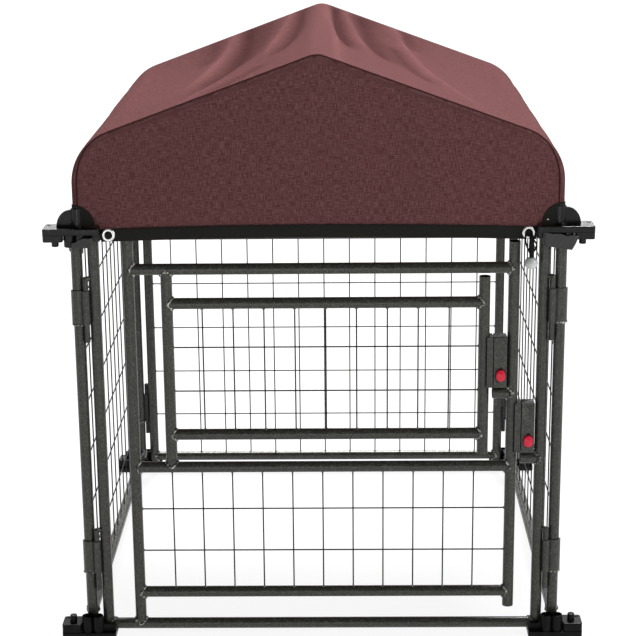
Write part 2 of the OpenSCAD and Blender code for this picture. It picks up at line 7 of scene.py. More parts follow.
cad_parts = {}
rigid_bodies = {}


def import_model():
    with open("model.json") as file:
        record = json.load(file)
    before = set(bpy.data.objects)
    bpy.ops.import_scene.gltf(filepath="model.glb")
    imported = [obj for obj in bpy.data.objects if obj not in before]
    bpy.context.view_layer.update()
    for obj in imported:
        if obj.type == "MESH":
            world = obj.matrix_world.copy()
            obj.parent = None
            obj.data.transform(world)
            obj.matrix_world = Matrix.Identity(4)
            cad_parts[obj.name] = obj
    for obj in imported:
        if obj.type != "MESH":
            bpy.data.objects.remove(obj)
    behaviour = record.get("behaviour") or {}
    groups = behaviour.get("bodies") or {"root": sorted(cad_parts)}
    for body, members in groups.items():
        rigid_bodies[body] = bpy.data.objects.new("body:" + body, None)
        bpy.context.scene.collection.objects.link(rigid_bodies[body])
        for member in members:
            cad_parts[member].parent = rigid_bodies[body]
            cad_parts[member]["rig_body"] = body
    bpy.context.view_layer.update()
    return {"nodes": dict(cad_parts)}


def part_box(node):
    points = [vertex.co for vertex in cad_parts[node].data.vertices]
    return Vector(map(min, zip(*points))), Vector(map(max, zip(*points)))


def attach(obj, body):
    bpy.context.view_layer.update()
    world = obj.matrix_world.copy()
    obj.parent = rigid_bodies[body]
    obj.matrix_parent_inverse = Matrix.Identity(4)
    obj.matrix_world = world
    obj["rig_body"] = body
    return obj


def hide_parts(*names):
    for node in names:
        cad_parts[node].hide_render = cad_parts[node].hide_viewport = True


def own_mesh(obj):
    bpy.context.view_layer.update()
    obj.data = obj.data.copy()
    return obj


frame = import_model()

# Studio: a wide white light-table floor under a soft overhead light, with softboxes in front and on the
# right, a low lamp by the camera and a long panel behind, which shows in level glossy faces. The sky is
# white where it is seen and dim where it lights. The camera stands in front.
floor_width = 80
floor_white = (0.09, 0.09, 0.09, 1)
floor_glow = 0.89
floor_rough = 0.9
sky_white = (1, 1, 1, 1)
sky_strength = 0.13
overhead_strength = 7.4
overhead_spread = math.radians(20)
overhead_turn = (math.radians(-34), math.radians(3), 0)
camera_place = (0.0528, -4.3812, 1.8353)
camera_pitch = math.radians(15.597)
camera_yaw = math.radians(0.825)
camera_roll = math.radians(-0.54)
camera_lens = 100.97


def placed(name, data):
    made = bpy.data.objects.new(name, data)
    bpy.context.scene.collection.objects.link(made)
    return made


def soft_light(name, place, target, width, height, watts):
    light = bpy.data.lights.new(name, "AREA")
    light.shape = "RECTANGLE"
    light.size = width
    light.size_y = height
    light.energy = watts
    lamp = placed(name, light)
    lamp.location = place
    lamp.rotation_euler = (Vector(target) - Vector(place)).to_track_quat("-Z", "Y").to_euler()
    lamp.visible_camera = False


soft_light("front_softbox", place=(2.7, -2.6, 1.6), target=(0, 0, 0.9), width=1.6, height=1.6, watts=9)
soft_light("front_lamp", place=(-0.3, -5.0, 0.5), target=(0, 0, 0.7), width=0.5, height=0.9, watts=14)
soft_light("right_softbox", place=(4.0, -2.2, 2.8), target=(0, 0, 0.8), width=2.0, height=2.0, watts=95)
soft_light("back_panel", place=(0, 9.0, 2.35), target=(0, 0, 1.2), width=9.0, height=1.5, watts=140)
overhead = bpy.data.lights.new("overhead_light", "SUN")
overhead.energy = overhead_strength
overhead.angle = overhead_spread
overhead_lamp = placed("overhead_light", overhead)
overhead_lamp.rotation_euler = overhead_turn
bpy.context.scene.view_settings.view_transform = "Standard"
sky = bpy.data.worlds.new("studio_sky")
sky.use_nodes = True
sky_tree = sky.node_tree
sky_fill = sky_tree.nodes["Background"]
sky_fill.inputs["Color"].default_value = sky_white
sky_fill.inputs["Strength"].default_value = sky_strength
sky_seen = sky_tree.nodes.new("ShaderNodeBackground")
sky_seen.inputs["Color"].default_value = sky_white
sky_path = sky_tree.nodes.new("ShaderNodeLightPath")
sky_choice = sky_tree.nodes.new("ShaderNodeMixShader")
sky_tree.links.new(sky_path.outputs["Is Camera Ray"], sky_choice.inputs[0])
sky_tree.links.new(sky_fill.outputs[0], sky_choice.inputs[1])
sky_tree.links.new(sky_seen.outputs[0], sky_choice.inputs[2])
sky_tree.links.new(sky_choice.outputs[0], sky_tree.nodes["World Output"].inputs["Surface"])
bpy.context.scene.world = sky


def fresh(add, **sizes):
    """The mesh object that an operator adds, alone in the selection."""
    bpy.ops.object.select_all(action="DESELECT")
    add(**sizes)
    return bpy.context.object


floor = fresh(bpy.ops.mesh.primitive_plane_add, size=floor_width)
floor.name = "studio_floor"
floor_paint = bpy.data.materials.new("studio_floor_white")
floor_paint.use_nodes = True
floor_shader = floor_paint.node_tree.nodes["Principled BSDF"]
floor_shader.inputs["Base Color"].default_value = floor_white
floor_shader.inputs["Roughness"].default_value = floor_rough
floor_shader.inputs["Emission Color"].default_value = sky_white
floor_shader.inputs["Emission Strength"].default_value = floor_glow
floor.data.materials.append(floor_paint)

camera_data = bpy.data.cameras.new("front_camera")
camera_data.lens = camera_lens
camera = placed("front_camera", camera_data)
camera_turn = Matrix.Rotation(camera_yaw, 4, "Z") @ Matrix.Rotation(math.pi / 2 - camera_pitch, 4, "X")
camera_stand = Matrix.Translation(camera_place) @ camera_turn
camera.matrix_world = camera_stand @ Matrix.Rotation(camera_roll, 4, "Z")
bpy.context.scene.camera = camera


# Feet: four moulded black corner blocks that stand on the ground and hold the uprights' lower ends.
# They are injection moulded plastic with rounded edges, and each is one piece with its cups and peg.
class Socket:
    """An output of a node, which takes part in sums and products like a number."""

    def __init__(self, finish, output):
        self.finish = finish
        self.output = output

    def with_number(self, operation, first, second):
        return self.finish.node("ShaderNodeMath", {"operation": operation}, {0: first, 1: second})

    def __add__(self, other):
        return self.with_number("ADD", self, other)

    def __radd__(self, other):
        return self.with_number("ADD", other, self)

    def __sub__(self, other):
        return self.with_number("SUBTRACT", self, other)

    def __rsub__(self, other):
        return self.with_number("SUBTRACT", other, self)

    def __mul__(self, other):
        return self.with_number("MULTIPLY", self, other)

    def __rmul__(self, other):
        return self.with_number("MULTIPLY", other, self)


class Finish:
    """A material on one Principled shader, to which texture nodes are added."""

    def __init__(self, name, constants):
        self.material = bpy.data.materials.new(name)
        self.material.use_nodes = True
        self.tree = self.material.node_tree
        self.shader = self.tree.nodes["Principled BSDF"]
        for key, value in constants.items():
            self.shader.inputs[key].default_value = value

    def node(self, kind, settings, sockets, output=0):
        made = self.tree.nodes.new(kind)
        for key, value in settings.items():
            setattr(made, key, value)
        for key, value in sockets.items():
            if isinstance(value, Socket):
                self.tree.links.new(value.output, made.inputs[key])
            else:
                made.inputs[key].default_value = value
        return Socket(self, made.outputs[output])

    def place(self):
        return self.node("ShaderNodeTexCoord", {}, {}, "Object")

    def speckle(self, place, scale, detail):
        return self.node("ShaderNodeTexNoise", {}, {"Vector": place, "Scale": scale, "Detail": detail})

    def cells(self, place, scale):
        return self.node("ShaderNodeTexVoronoi", {"feature": "SMOOTH_F1"}, {"Vector": place, "Scale": scale})

    def waves(self, place, direction, scale, distortion=0):
        sockets = {"Vector": place, "Scale": scale, "Distortion": distortion}
        return self.node("ShaderNodeTexWave", {"bands_direction": direction}, sockets)

    def spread(self, value, low, high, to_low, to_high):
        ends = {0: value, 1: low, 2: high, 3: to_low, 4: to_high}
        return self.node("ShaderNodeMapRange", {"clamp": True}, ends)

    def mixed(self, share, first, second):
        return self.node("ShaderNodeMix", {"data_type": "RGBA"}, {0: share, 6: first, 7: second}, 2)

    def feed(self, key, value):
        self.tree.links.new(value.output, self.shader.inputs[key])

    def colour(self, share, dark, light):
        self.feed("Base Color", self.mixed(share, dark, light))

    def relief(self, height, depth):
        sockets = {"Strength": 1, "Distance": depth, "Height": height}
        self.feed("Normal", self.node("ShaderNodeBump", {}, sockets))


def black_moulding(name, gloss, smooth):
    """Black moulded plastic with a fine grain and smears from handling."""
    plastic = Finish(name, {"Specular IOR Level": gloss})
    place = plastic.place()
    smear = plastic.speckle(place, 38, 4)
    smeared = plastic.spread(smear, 0.35, 0.75, 0, 1)
    plastic.colour(smeared, (0.003, 0.003, 0.003, 1), (0.009, 0.009, 0.009, 1))
    plastic.feed("Roughness", smooth + 0.16 * smear)
    plastic.relief(plastic.speckle(place, 1400, 2), 0.00012)
    return plastic


foot_moulding = black_moulding("moulded_foot_plastic", gloss=0.10, smooth=0.26)
block_round = 0.0016
merge_gap = 0.00002
flat_turn = math.radians(1)
sharp_turn = math.radians(40)
smooth_turn = math.radians(35)


def pick(piece):
    """Selects one piece alone and makes it active."""
    bpy.ops.object.select_all(action="DESELECT")
    piece.select_set(True)
    bpy.context.view_layer.objects.active = piece


def paint(piece, finish):
    piece.data.materials.clear()
    piece.data.materials.append(finish.material)


def rounded(node, radius, finish):
    """A copy of a CAD node with rounded edges, which stands for it. Points thrown off it are put back."""
    source = frame["nodes"][node]
    piece = placed(node + "_rounded", source.data.copy())
    piece.matrix_world = source.matrix_world
    pick(piece)
    bpy.ops.object.transform_apply(location=True, rotation=True, scale=True)
    bpy.ops.mesh.customdata_custom_splitnormals_clear()
    bpy.ops.object.mode_set(mode="EDIT")
    bpy.ops.mesh.select_all(action="SELECT")
    bpy.ops.mesh.remove_doubles(threshold=merge_gap)
    bpy.ops.mesh.dissolve_limited(angle_limit=flat_turn)
    bpy.ops.object.mode_set(mode="OBJECT")
    edge = piece.modifiers.new("rounded_edges", "BEVEL")
    edge.limit_method = "ANGLE"
    edge.angle_limit = sharp_turn
    edge.width = radius
    edge.segments = 2
    edge.use_clamp_overlap = False
    bpy.ops.object.modifier_apply(modifier=edge.name)
    to_node = source.matrix_world.inverted()
    for v in piece.data.vertices:
        near = source.matrix_world @ source.closest_point_on_mesh(to_node @ v.co)[1]
        if (near - v.co).length > radius / 2:
            v.co = near
    bpy.ops.object.shade_smooth_by_angle(angle=smooth_turn)
    flat = piece.modifiers.new("flat_faces", "WEIGHTED_NORMAL")
    flat.keep_sharp = True
    bpy.ops.object.modifier_apply(modifier=flat.name)
    paint(piece, finish)
    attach(piece, source["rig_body"])
    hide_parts(node)
    return piece


corners = [(end, side) for end in ("front", "rear") for side in ("left", "right")]
for end, side in corners:
    rounded(f"{end}_{side}_foot", block_round, foot_moulding)

# Panels: uprights and rails of round steel tube, coped, welded and powder coated in a dark bronze
# grey hammered finish. The front panel has a sill and a top rail, and the others have two rails.
coat = Finish("hammered_powder_coat", {"Metallic": 0.25, "Specular IOR Level": 0.5})
coat_place = coat.place()
coat_cells = coat.cells(coat_place, 300)
coat_cloud = coat.speckle(coat_place, 90, 5)
coat_vein = coat.spread(coat_cells + 0.5 * coat_cloud, 0.55, 0.95, 0, 1)
coat.colour(coat_vein, (0.022, 0.022, 0.018, 1), (0.062, 0.062, 0.053, 1))
coat.feed("Roughness", coat.spread(coat_cloud, 0.3, 0.7, 0.30, 0.42))
coat.relief(coat_cells, 0.0004)


def dress(finish, *nodes):
    for name in nodes:
        paint(frame["nodes"][name], finish)


x_rails = ["front_sill", "front_top_rail", "back_bottom_rail", "back_top_rail"]
y_rails = [f"{side}_{level}_rail" for side in ("left", "right") for level in ("bottom", "top")]
side_posts = [f"{side}_{end}_upright" for side in ("left", "right") for end in ("front", "rear")]
end_posts = [f"{end}_{side}_upright" for end in ("front", "back") for side in ("left", "right")]
dress(coat, *x_rails, *y_rails, *side_posts, *end_posts)

# Weld beads: a run of weld round each rail's end, left a little proud and coated with the tube. Pale patches
# at random in the bead's colour are partly bare metal where the coat is thin and partly painted glints,
# which stand in for the light that the ripples catch.
weld = Finish("coated_weld_bead", {"Metallic": 0.35})
weld_crust = weld.speckle(weld.place(), 210, 4)
# Painted glints: the pale patches brighten the bead's colour as caught light would, besides showing bare
# metal.
painted_glint_and_bare_patches = weld.spread(weld_crust, 0.46, 0.62, 0, 1)
weld.colour(painted_glint_and_bare_patches, (0.025, 0.025, 0.021, 1), (0.46, 0.46, 0.43, 1))
weld.feed("Roughness", weld.spread(weld_crust, 0.3, 0.7, 0.3, 0.5))
weld.relief(weld_crust, 0.0008)
tube_low, tube_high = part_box("front_left_upright")
tube_radius = (tube_high[0] - tube_low[0]) / 2
cope_tip = 0.002
cope_fit = 0.97
rail_bead = 0.0034
ripples = 23
ripple_rise = 0.16
lumps = 5
lump_rise = 0.24
left = Vector((-1, 0, 0))
up = Vector((0, 0, 1))
down = Vector((0, 0, -1))


def weld_bead(joint, along, post, radius, post_radius, bead_radius=rail_bead):
    """A rippled ring where a tube of that radius, running along, meets a post's round side."""
    bead = fresh(
        bpy.ops.mesh.primitive_torus_add, major_radius=radius, minor_radius=bead_radius,
        major_segments=72, minor_segments=8)
    across = post.cross(along)
    lump_start = joint.x * 40 + joint.z * 25
    for v in bead.data.vertices:
        turn = math.atan2(v.co.y, v.co.x)
        swell = 1 + ripple_rise * math.sin(ripples * turn) + lump_rise * math.sin(lumps * turn + lump_start)
        reach = radius + (math.hypot(v.co.x, v.co.y) - radius) * swell
        saddle = math.sqrt(max(post_radius ** 2 - (cope_fit * radius * math.cos(turn)) ** 2, 0))
        out = along * (saddle + v.co.z * swell)
        v.co = joint + out + (across * math.cos(turn) + post * math.sin(turn)) * reach
    return bead


def face_outwards():
    """Turns the active piece's faces outwards."""
    bpy.ops.object.mode_set(mode="EDIT")
    bpy.ops.mesh.select_all(action="SELECT")
    bpy.ops.mesh.normals_make_consistent(inside=False)
    bpy.ops.object.mode_set(mode="OBJECT")


def one_piece(pieces, name, finish, body):
    """Joins pieces to one that rides a body, with its finish."""
    bpy.ops.object.select_all(action="DESELECT")
    for piece in pieces:
        piece.select_set(True)
    bpy.context.view_layer.objects.active = pieces[0]
    bpy.ops.object.join()
    whole = bpy.context.object
    whole.name = name
    face_outwards()
    bpy.ops.object.shade_smooth()
    paint(whole, finish)
    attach(whole, body)
    return whole


def box_middle(node):
    low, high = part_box(node)
    return (Vector(low) + Vector(high)) / 2


def rail_welds(node, axis):
    """The two beads of a rail that runs along axis between two upright posts."""
    low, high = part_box(node)
    first = box_middle(node)
    last = box_middle(node)
    first[axis] = low[axis] - cope_tip
    last[axis] = high[axis] + cope_tip
    along = Vector((axis == 0, axis == 1, 0))
    ends = [(first, along), (last, -along)]
    return [weld_bead(place, way, up, tube_radius, tube_radius) for place, way in ends]


panel_beads = [bead for rail in x_rails for bead in rail_welds(rail, 0)]
panel_beads += [bead for rail in y_rails for bead in rail_welds(rail, 1)]
one_piece(panel_beads, "panel_weld_beads", weld, "frame")

# Wire mesh: drawn steel wires laid in two layers, spot welded where they cross and welded to the
# rails and posts at their ends. Each end has a small flattened nugget.
wire_coat = Finish("coated_wire", {"Specular IOR Level": 0.12})
wire_cloud = wire_coat.speckle(wire_coat.place(), 260, 4)
wire_pale = wire_coat.spread(wire_cloud, 0.35, 0.7, 0, 1)
wire_coat.colour(wire_pale, (0.003, 0.003, 0.0025, 1), (0.014, 0.014, 0.012, 1))
wire_coat.feed("Roughness", wire_coat.spread(wire_cloud, 0.3, 0.7, 0.36, 0.52))
wire_coat.relief(wire_cloud, 0.0003)
panel_meshes = ["left_mesh", "right_mesh", "back_mesh"]
dress(wire_coat, *panel_meshes, "gate_mesh", "feed_mesh")
wire_apart = 0.006
rim_depth = 0.0002
nugget_radius = 0.0034
nugget_flat = 0.62
nugget_lump = 0.18


def groups(values):
    """Middles of runs of values that lie close together."""
    ordered = sorted(values)
    runs = [[ordered[0]]]
    for value in ordered[1:]:
        if value - runs[-1][-1] > wire_apart:
            runs.append([])
        runs[-1].append(value)
    return [(run[0] + run[-1]) / 2 for run in runs]


def wire_ends(node, across):
    """Where the wires of a mesh panel end. across is the panel's level axis."""
    low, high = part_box(node)
    points = [frame["nodes"][node].matrix_world @ v.co for v in frame["nodes"][node].data.vertices]
    depth = 1 - across
    found = []
    for axis, other in ((2, across), (across, 2)):
        for limit in (low[axis], high[axis]):
            rim = [p for p in points if abs(p[axis] - limit) < rim_depth]
            level = groups([p[depth] for p in rim])[0]
            for value in groups([p[other] for p in rim]):
                place = Vector((0, 0, 0))
                place[axis] = limit
                place[other] = value
                place[depth] = level
                found.append((place, axis))
    return found


def nuggets(node, across):
    made = []
    for place, axis in wire_ends(node, across):
        nugget = fresh(
            bpy.ops.mesh.primitive_uv_sphere_add, segments=10, ring_count=6, radius=nugget_radius)
        for v in nugget.data.vertices:
            v.co[axis] = v.co[axis] * nugget_flat
            lump = math.sin(900 * v.co.x + 37 * place.z) * math.cos(700 * v.co.z)
            v.co = v.co * (1 + nugget_lump * lump) + place
        made.append(nugget)
    return made


panel_nuggets = nuggets("left_mesh", 1) + nuggets("right_mesh", 1) + nuggets("back_mesh", 0)
one_piece(panel_nuggets, "panel_wire_nuggets", weld, "frame")

# Corner links: short sleeves on half-round saddles, welded to the side uprights, and bent steel
# pins welded to the front and back uprights that drop through them. All are coated steel.
sleeve_bead = 0.0028
link_round = 0.0007
sleeves = frame["nodes"]["corner_sleeves"]
sleeve_feet = groups([(sleeves.matrix_world @ v.co).z for v in sleeves.data.vertices])[0::2]
sleeve_beads = []
for post in side_posts:
    for height in sleeve_feet:
        place = Vector((*box_middle(post).xy, height - sleeve_bead / 3))
        sleeve_beads.append(weld_bead(place, down, left, tube_radius + sleeve_bead / 2, 0, sleeve_bead))
one_piece(sleeve_beads, "sleeve_weld_beads", weld, "frame")
for name in ("corner_sleeves", "corner_hooks"):
    rounded(name, link_round, coat)

# Gate: a hinge post, a latch post, three rails and a wire mesh below the middle rail, all welded.
# It turns on collars and spigots that are welded to the sill and the top rail.
gate_rails = ["gate_top_rail", "gate_mid_rail", "gate_bottom_rail"]
dress(coat, "gate_pivots", "gate_hinge_post", "gate_latch_post", *gate_rails, "feed_pivots")
gate_beads = [bead for rail in gate_rails for bead in rail_welds(rail, 0)]
one_piece(gate_beads, "gate_weld_beads", weld, "gate")
one_piece(nuggets("gate_mesh", 0), "gate_wire_nuggets", weld, "gate")


def pivot_welds(post, lower, upper, name, body):
    """Beads round the collars that a post stands on and hangs from."""
    beads = []
    for rail, way in ((lower, up), (upper, down)):
        place = Vector((*box_middle(post).xy, box_middle(rail).z))
        beads.append(weld_bead(place, way, left, tube_radius, tube_radius))
    one_piece(beads, name, weld, body)


pivot_welds("gate_hinge_post", "front_sill", "front_top_rail", "gate_pivot_beads", "frame")

# Feed door: a small door of the same tube and wire in the gate's upper half. It hangs on the gate's
# middle and top rails by collars and spigots.
feed_rails = ["feed_top_rail", "feed_bottom_rail"]
dress(coat, "feed_hinge_post", "feed_latch_post", *feed_rails)
feed_beads = [bead for rail in feed_rails for bead in rail_welds(rail, 0)]
one_piece(feed_beads, "feed_weld_beads", weld, "feed_door")
one_piece(nuggets("feed_mesh", 0), "feed_wire_nuggets", weld, "feed_door")
pivot_welds("feed_hinge_post", "gate_mid_rail", "gate_top_rail", "feed_pivot_beads", "gate")

# Latches: a T rail on a saddle welded to each latch post, and a cast slider that lifts on it. The
# slider's leg drops behind a strike stub that is welded to the post opposite.
latch_round = 0.0009
strike_round = 0.0008
notch_radius = 0.0036
notch_deep = 0.004


def cut_by(piece, tool):
    """Cuts the tool's shape out of a piece and removes the tool."""
    hole = piece.modifiers.new("cut", "BOOLEAN")
    hole.object = tool
    hole.operation = "DIFFERENCE"
    hole.solver = "EXACT"
    pick(piece)
    bpy.ops.object.modifier_apply(modifier=hole.name)
    bpy.data.objects.remove(tool)


def thumb_notch(slider, button):
    """A small notch in a slider's face, just above its button."""
    low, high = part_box(button)
    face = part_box(slider.name.replace("_rounded", ""))[0][1]
    cutter = fresh(
        bpy.ops.mesh.primitive_cylinder_add, vertices=24, radius=notch_radius, depth=2 * notch_deep,
        rotation=(math.pi / 2, 0, 0), location=((low[0] + high[0]) / 2, face, high[2] + notch_radius))
    cut_by(slider, cutter)
    bpy.ops.mesh.customdata_custom_splitnormals_clear()


for name in ("gate_latch", "feed_latch"):
    rounded(name + "_guide", latch_round, coat)
    slider = rounded(name + "_slider", latch_round, coat)
    thumb_notch(slider, name + "_button")
for name in ("gate_strike", "feed_strike"):
    rounded(name, strike_round, coat)


def strike_weld(strike, post, name, body):
    """The bead round the end of a strike stub that points left from its post."""
    low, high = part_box(strike)
    place = Vector((*box_middle(post).xy, box_middle(strike).z))
    bead = weld_bead(place, left, up, (high[2] - low[2]) / 2, tube_radius)
    one_piece([bead], name, weld, body)


strike_weld("gate_strike", "front_right_upright", "gate_strike_bead", "frame")
strike_weld("feed_strike", "gate_latch_post", "feed_strike_bead", "gate")

# Buttons: a red moulded knob low on each slider's face, pressed in against a coil spring in its
# bore to free the latch. The plastic is glossy and a little uneven in colour.
red_plastic = Finish("red_moulded_plastic", {"Specular IOR Level": 0.4})
red_place = red_plastic.place()
red_smear = red_plastic.speckle(red_place, 60, 3)
red_plastic.colour(red_smear, (0.50, 0.005, 0.025, 1), (0.72, 0.010, 0.048, 1))
red_plastic.feed("Roughness", 0.26 + 0.14 * red_smear)
red_plastic.relief(red_plastic.speckle(red_place, 1200, 2), 0.00005)
button_round = 0.0008
for name in ("gate_latch_button", "feed_latch_button"):
    rounded(name, button_round, red_plastic)

# Button springs: a short coil of bright drawn wire behind each button, in the slider's bore. On the real
# latch it is pressed shorter as the button goes in; here the coil keeps one length.
spring_wire = Finish("bright_spring_wire", {"Metallic": 1.0, "Roughness": 0.3})
spring_scuff = spring_wire.speckle(spring_wire.place(), 900, 3)
spring_wire.colour(spring_scuff, (0.34, 0.34, 0.34, 1), (0.62, 0.62, 0.60, 1))
spring_wire.relief(spring_scuff, 0.0001)
spring_radius = 0.0004
spring_turns = 5
turn_steps = 24


def drawn_wire(points, radius, capped):
    """A mesh of round wire along a line of points."""
    line = bpy.data.curves.new("wire_line", "CURVE")
    line.dimensions = "3D"
    line.bevel_depth = radius
    line.bevel_resolution = 1
    line.use_fill_caps = capped
    way = line.splines.new("POLY")
    way.points.add(len(points) - 1)
    for knot, point in zip(way.points, points):
        knot.co = (*point, 1)
    pick(placed("wire_line", line))
    bpy.ops.object.convert(target="MESH")
    return bpy.context.object


def coil_spring(latch):
    low, high = [Vector(corner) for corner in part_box(latch + "_button_spring")]
    middle = (low + high) / 2
    reach = (high.z - low.z) / 2 - spring_radius
    steps = spring_turns * turn_steps
    points = []
    for i in range(steps + 1):
        turn = 2 * math.pi * i / turn_steps
        depth = low.y + spring_radius + i / steps * (high.y - low.y - 2 * spring_radius)
        points.append((middle.x + reach * math.cos(turn), depth, middle.z + reach * math.sin(turn)))
    coil = drawn_wire(points, spring_radius, capped=True)
    whole = one_piece([coil], latch + "_button_coil", spring_wire, latch + "_latch")
    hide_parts(latch + "_button_spring")
    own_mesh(whole)


coil_spring("gate")
coil_spring("feed")

# Top brackets: the same moulded blocks turned over on the uprights' upper ends. A boss on each,
# braced by a web, holds a leg of a roof hoop.
bracket_moulding = black_moulding("moulded_bracket_plastic", gloss=0.24, smooth=0.08)
for end, side in corners:
    rounded(f"{end}_{side}_bracket", block_round, bracket_moulding)

# Hoops: two bent tubes that stand in the bosses, with a ridge pole between their tops. They carry
# the canopy, and only their feet show under it.
dress(coat, "front_hoop", "rear_hoop", "ridge_pole")

# Canopy: one sheet of burgundy coated cloth, sewn with gable ends and stretched over the hoops. It wraps
# round the hoops, sags a little between them and has loose folds that run from the rear. The shade of the
# folds is also painted into the cloth's colour, lighter on their ridges and darker in their valleys.
hoop_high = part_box("front_hoop")[1]
hoop_radius = 0.008
hoop_half = hoop_high[0] - hoop_radius
hoop_depth = (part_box("rear_hoop")[0][1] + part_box("rear_hoop")[1][1]) / 2
roof_pitch = math.radians(20.1)
shoulder_bend = 0.115
apex_bend = 0.040
shoulder_x = hoop_half - shoulder_bend
apex_z = hoop_high[2] - hoop_radius - apex_bend
shoulder_z = (apex_z * math.cos(roof_pitch) + apex_bend - shoulder_bend
              - math.sin(roof_pitch) * shoulder_x) / math.cos(roof_pitch)
apex_run = apex_bend * roof_pitch
slope_run = (shoulder_x + (shoulder_bend - apex_bend) * math.sin(roof_pitch)) / math.cos(roof_pitch)
bend_run = shoulder_bend * (math.pi / 2 - roof_pitch)
bend_start = apex_run + slope_run
bend_end = bend_start + bend_run
hem_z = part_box("canopy")[0][2]
leg_run = shoulder_z - hem_z
half_run = bend_end + leg_run
bracket_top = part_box("front_left_bracket")[1][2]
corner_cut = bracket_top + 0.0025
block_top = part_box("front_left_upright")[1][2] + 0.011
cloth_out = 0.0091
cloth_thick = 0.0008
hem_arch = 0.0075
gable_share = 0.19
wrap_share = 0.03
sag_depth = 0.024
lip_run = 0.035
lip_dip = 0.006
pole_room = (0.010, 0.055)
hoop_hold = (hoop_depth - 0.10, hoop_depth + 0.005)
bend_fade = (bend_start - 0.06, bend_start + 0.06)
roof_ripple = 0.0016
gable_ripple = 0.0022
gable_swell = 0.0024
ripple_top = (0.05, 0.3)
ripple_foot = (0.7, 0.9)
ripple_side = (0.38, 0.47)
row_crowding = 0.25


def profile(run, out):
    """Point and outward direction on the hoop's line, by the run from its apex and the way out from it."""
    far = abs(run)
    side = math.copysign(1, run)
    if far < apex_run:
        turn = far / apex_bend
        centre = Vector((0, apex_z))
        reach = apex_bend
    elif far < bend_start:
        turn = roof_pitch
        slide = far - apex_run
        centre = Vector((slide * math.cos(turn), apex_z - slide * math.sin(turn)))
        reach = apex_bend
    elif far < bend_end:
        turn = roof_pitch + (far - bend_start) / shoulder_bend
        centre = Vector((shoulder_x, shoulder_z))
        reach = shoulder_bend
    else:
        turn = math.pi / 2
        centre = Vector((shoulder_x, shoulder_z - (far - bend_end)))
        reach = shoulder_bend
    normal = Vector((math.sin(turn), math.cos(turn)))
    point = centre + normal * (reach + out)
    return Vector((side * point.x, point.y)), Vector((side * normal.x, normal.y))


def ramp(value, low, high):
    return min(max((value - low) / (high - low), 0), 1)


def ease(value, low, high):
    share = ramp(value, low, high)
    return share * share * (3 - 2 * share)


# Each fold follows points on the roof, given as the way down the slope from the ridge, to the right
# positive, and the depth. Then come its height, negative for a valley, and its width.
folds = [
    ([(-0.245, 0.56), (-0.285, 0.22), (-0.350, -0.42)], 0.0085, 0.013),
    ([(-0.205, 0.56), (-0.236, -0.05), (-0.325, -0.48)], -0.0080, 0.019),
    ([(-0.300, 0.56), (-0.335, 0.20)], -0.0045, 0.024),
    ([(-0.080, 0.56), (-0.125, 0.22), (-0.155, -0.14)], 0.0085, 0.014),
    ([(-0.150, 0.56), (-0.190, 0.20), (-0.210, -0.10)], -0.0045, 0.030),
    ([(-0.052, 0.56), (-0.078, 0.10), (-0.125, -0.24)], -0.0080, 0.016),
    ([(0.000, 0.56), (-0.020, 0.00), (-0.030, -0.90)], 0.0030, 0.032),
    ([(0.006, 0.60), (0.022, 0.22), (0.042, -0.07), (0.056, -1.20)], 0.0085, 0.008),
    ([(0.036, 0.56), (0.056, 0.15), (0.092, -0.20)], -0.0125, 0.017),
    ([(0.058, 0.56), (0.100, 0.20), (0.145, -0.16)], 0.0095, 0.011),
    ([(0.112, 0.56), (0.152, 0.15), (0.200, -0.14)], -0.0085, 0.026),
    ([(0.203, 0.56), (0.270, 0.11), (0.292, -0.11), (0.410, -0.56)], 0.0090, 0.011),
    ([(0.236, 0.56), (0.262, 0.30)], -0.0060, 0.020),
    ([(0.215, 0.25), (0.252, -0.10), (0.300, -0.32)], -0.0060, 0.018),
    ([(-0.205, -0.33), (-0.330, -0.53)], 0.0050, 0.014),
    ([(-0.150, -0.34), (-0.270, -0.53)], -0.0050, 0.022),
]
fold_tail = (0.6, 1.0)
fold_shape = 1.5
# Painted fold shade: fold heights divided by this height give full shade, and the folds are taken this much
# broader for it.
painted_fold_shade_height = 0.009
painted_fold_shade_spread = 1.5


def fold_height(run, depth, broad=1.0):
    """Sum of the folds' heights at a place on the roof, with their widths made broad times as large."""
    here = Vector((run, depth))
    height = 0
    for points, rise, width in folds:
        stops = [Vector(point) for point in points]
        nearest = math.inf
        share = 0
        for i in range(len(stops) - 1):
            way = stops[i + 1] - stops[i]
            held = ramp((here - stops[i]).dot(way), 0, way.length_squared)
            miss = (here - stops[i] - way * held).length
            if miss < nearest:
                nearest = miss
                share = (i + held) / (len(stops) - 1)
        fade = 1 - ease(share, *fold_tail)
        height += rise * fade * math.exp(-(nearest / (broad * width)) ** fold_shape)
    return height


block_side = (0.500, 0.517)
boss_side = (0.519, 0.528)


def side_hem(depth):
    """Height of the lower edge of the canopy's side, which is cut away over the corner brackets."""
    over_block = ease(abs(depth), *block_side)
    over_boss = ease(abs(depth), *boss_side)
    return hem_z + (block_top - hem_z) * over_block + (corner_cut - block_top) * over_boss


hem_end = 0.478
boss_start = 0.5135
boss_turn = math.asin((boss_start - shoulder_x) / shoulder_bend)
boss_run = bend_start + shoulder_bend * (boss_turn - roof_pitch)


def gable_foot(run):
    """Where a rib of the gable end, hung down from that run, ends at the hem or the corner cut."""
    far = abs(run)
    side = math.copysign(1, run)
    x = profile(far, 0)[0].x
    if far > boss_run:
        share = (far - boss_run) / (half_run - boss_run)
        return Vector((side * (boss_start + share * (hoop_half - boss_start)), corner_cut))
    if x > hem_end:
        return Vector((side * x, block_top))
    return Vector((side * x, hem_z + hem_arch * (1 - (x / hem_end) ** 2)))


def roof_run(run, depth):
    """The same rib's place further back, where the side hangs lower than at the corner."""
    far = abs(run)
    if far <= bend_end:
        return run
    share = (far - bend_end) / leg_run
    return math.copysign(bend_end + share * (shoulder_z - side_hem(depth)), run)


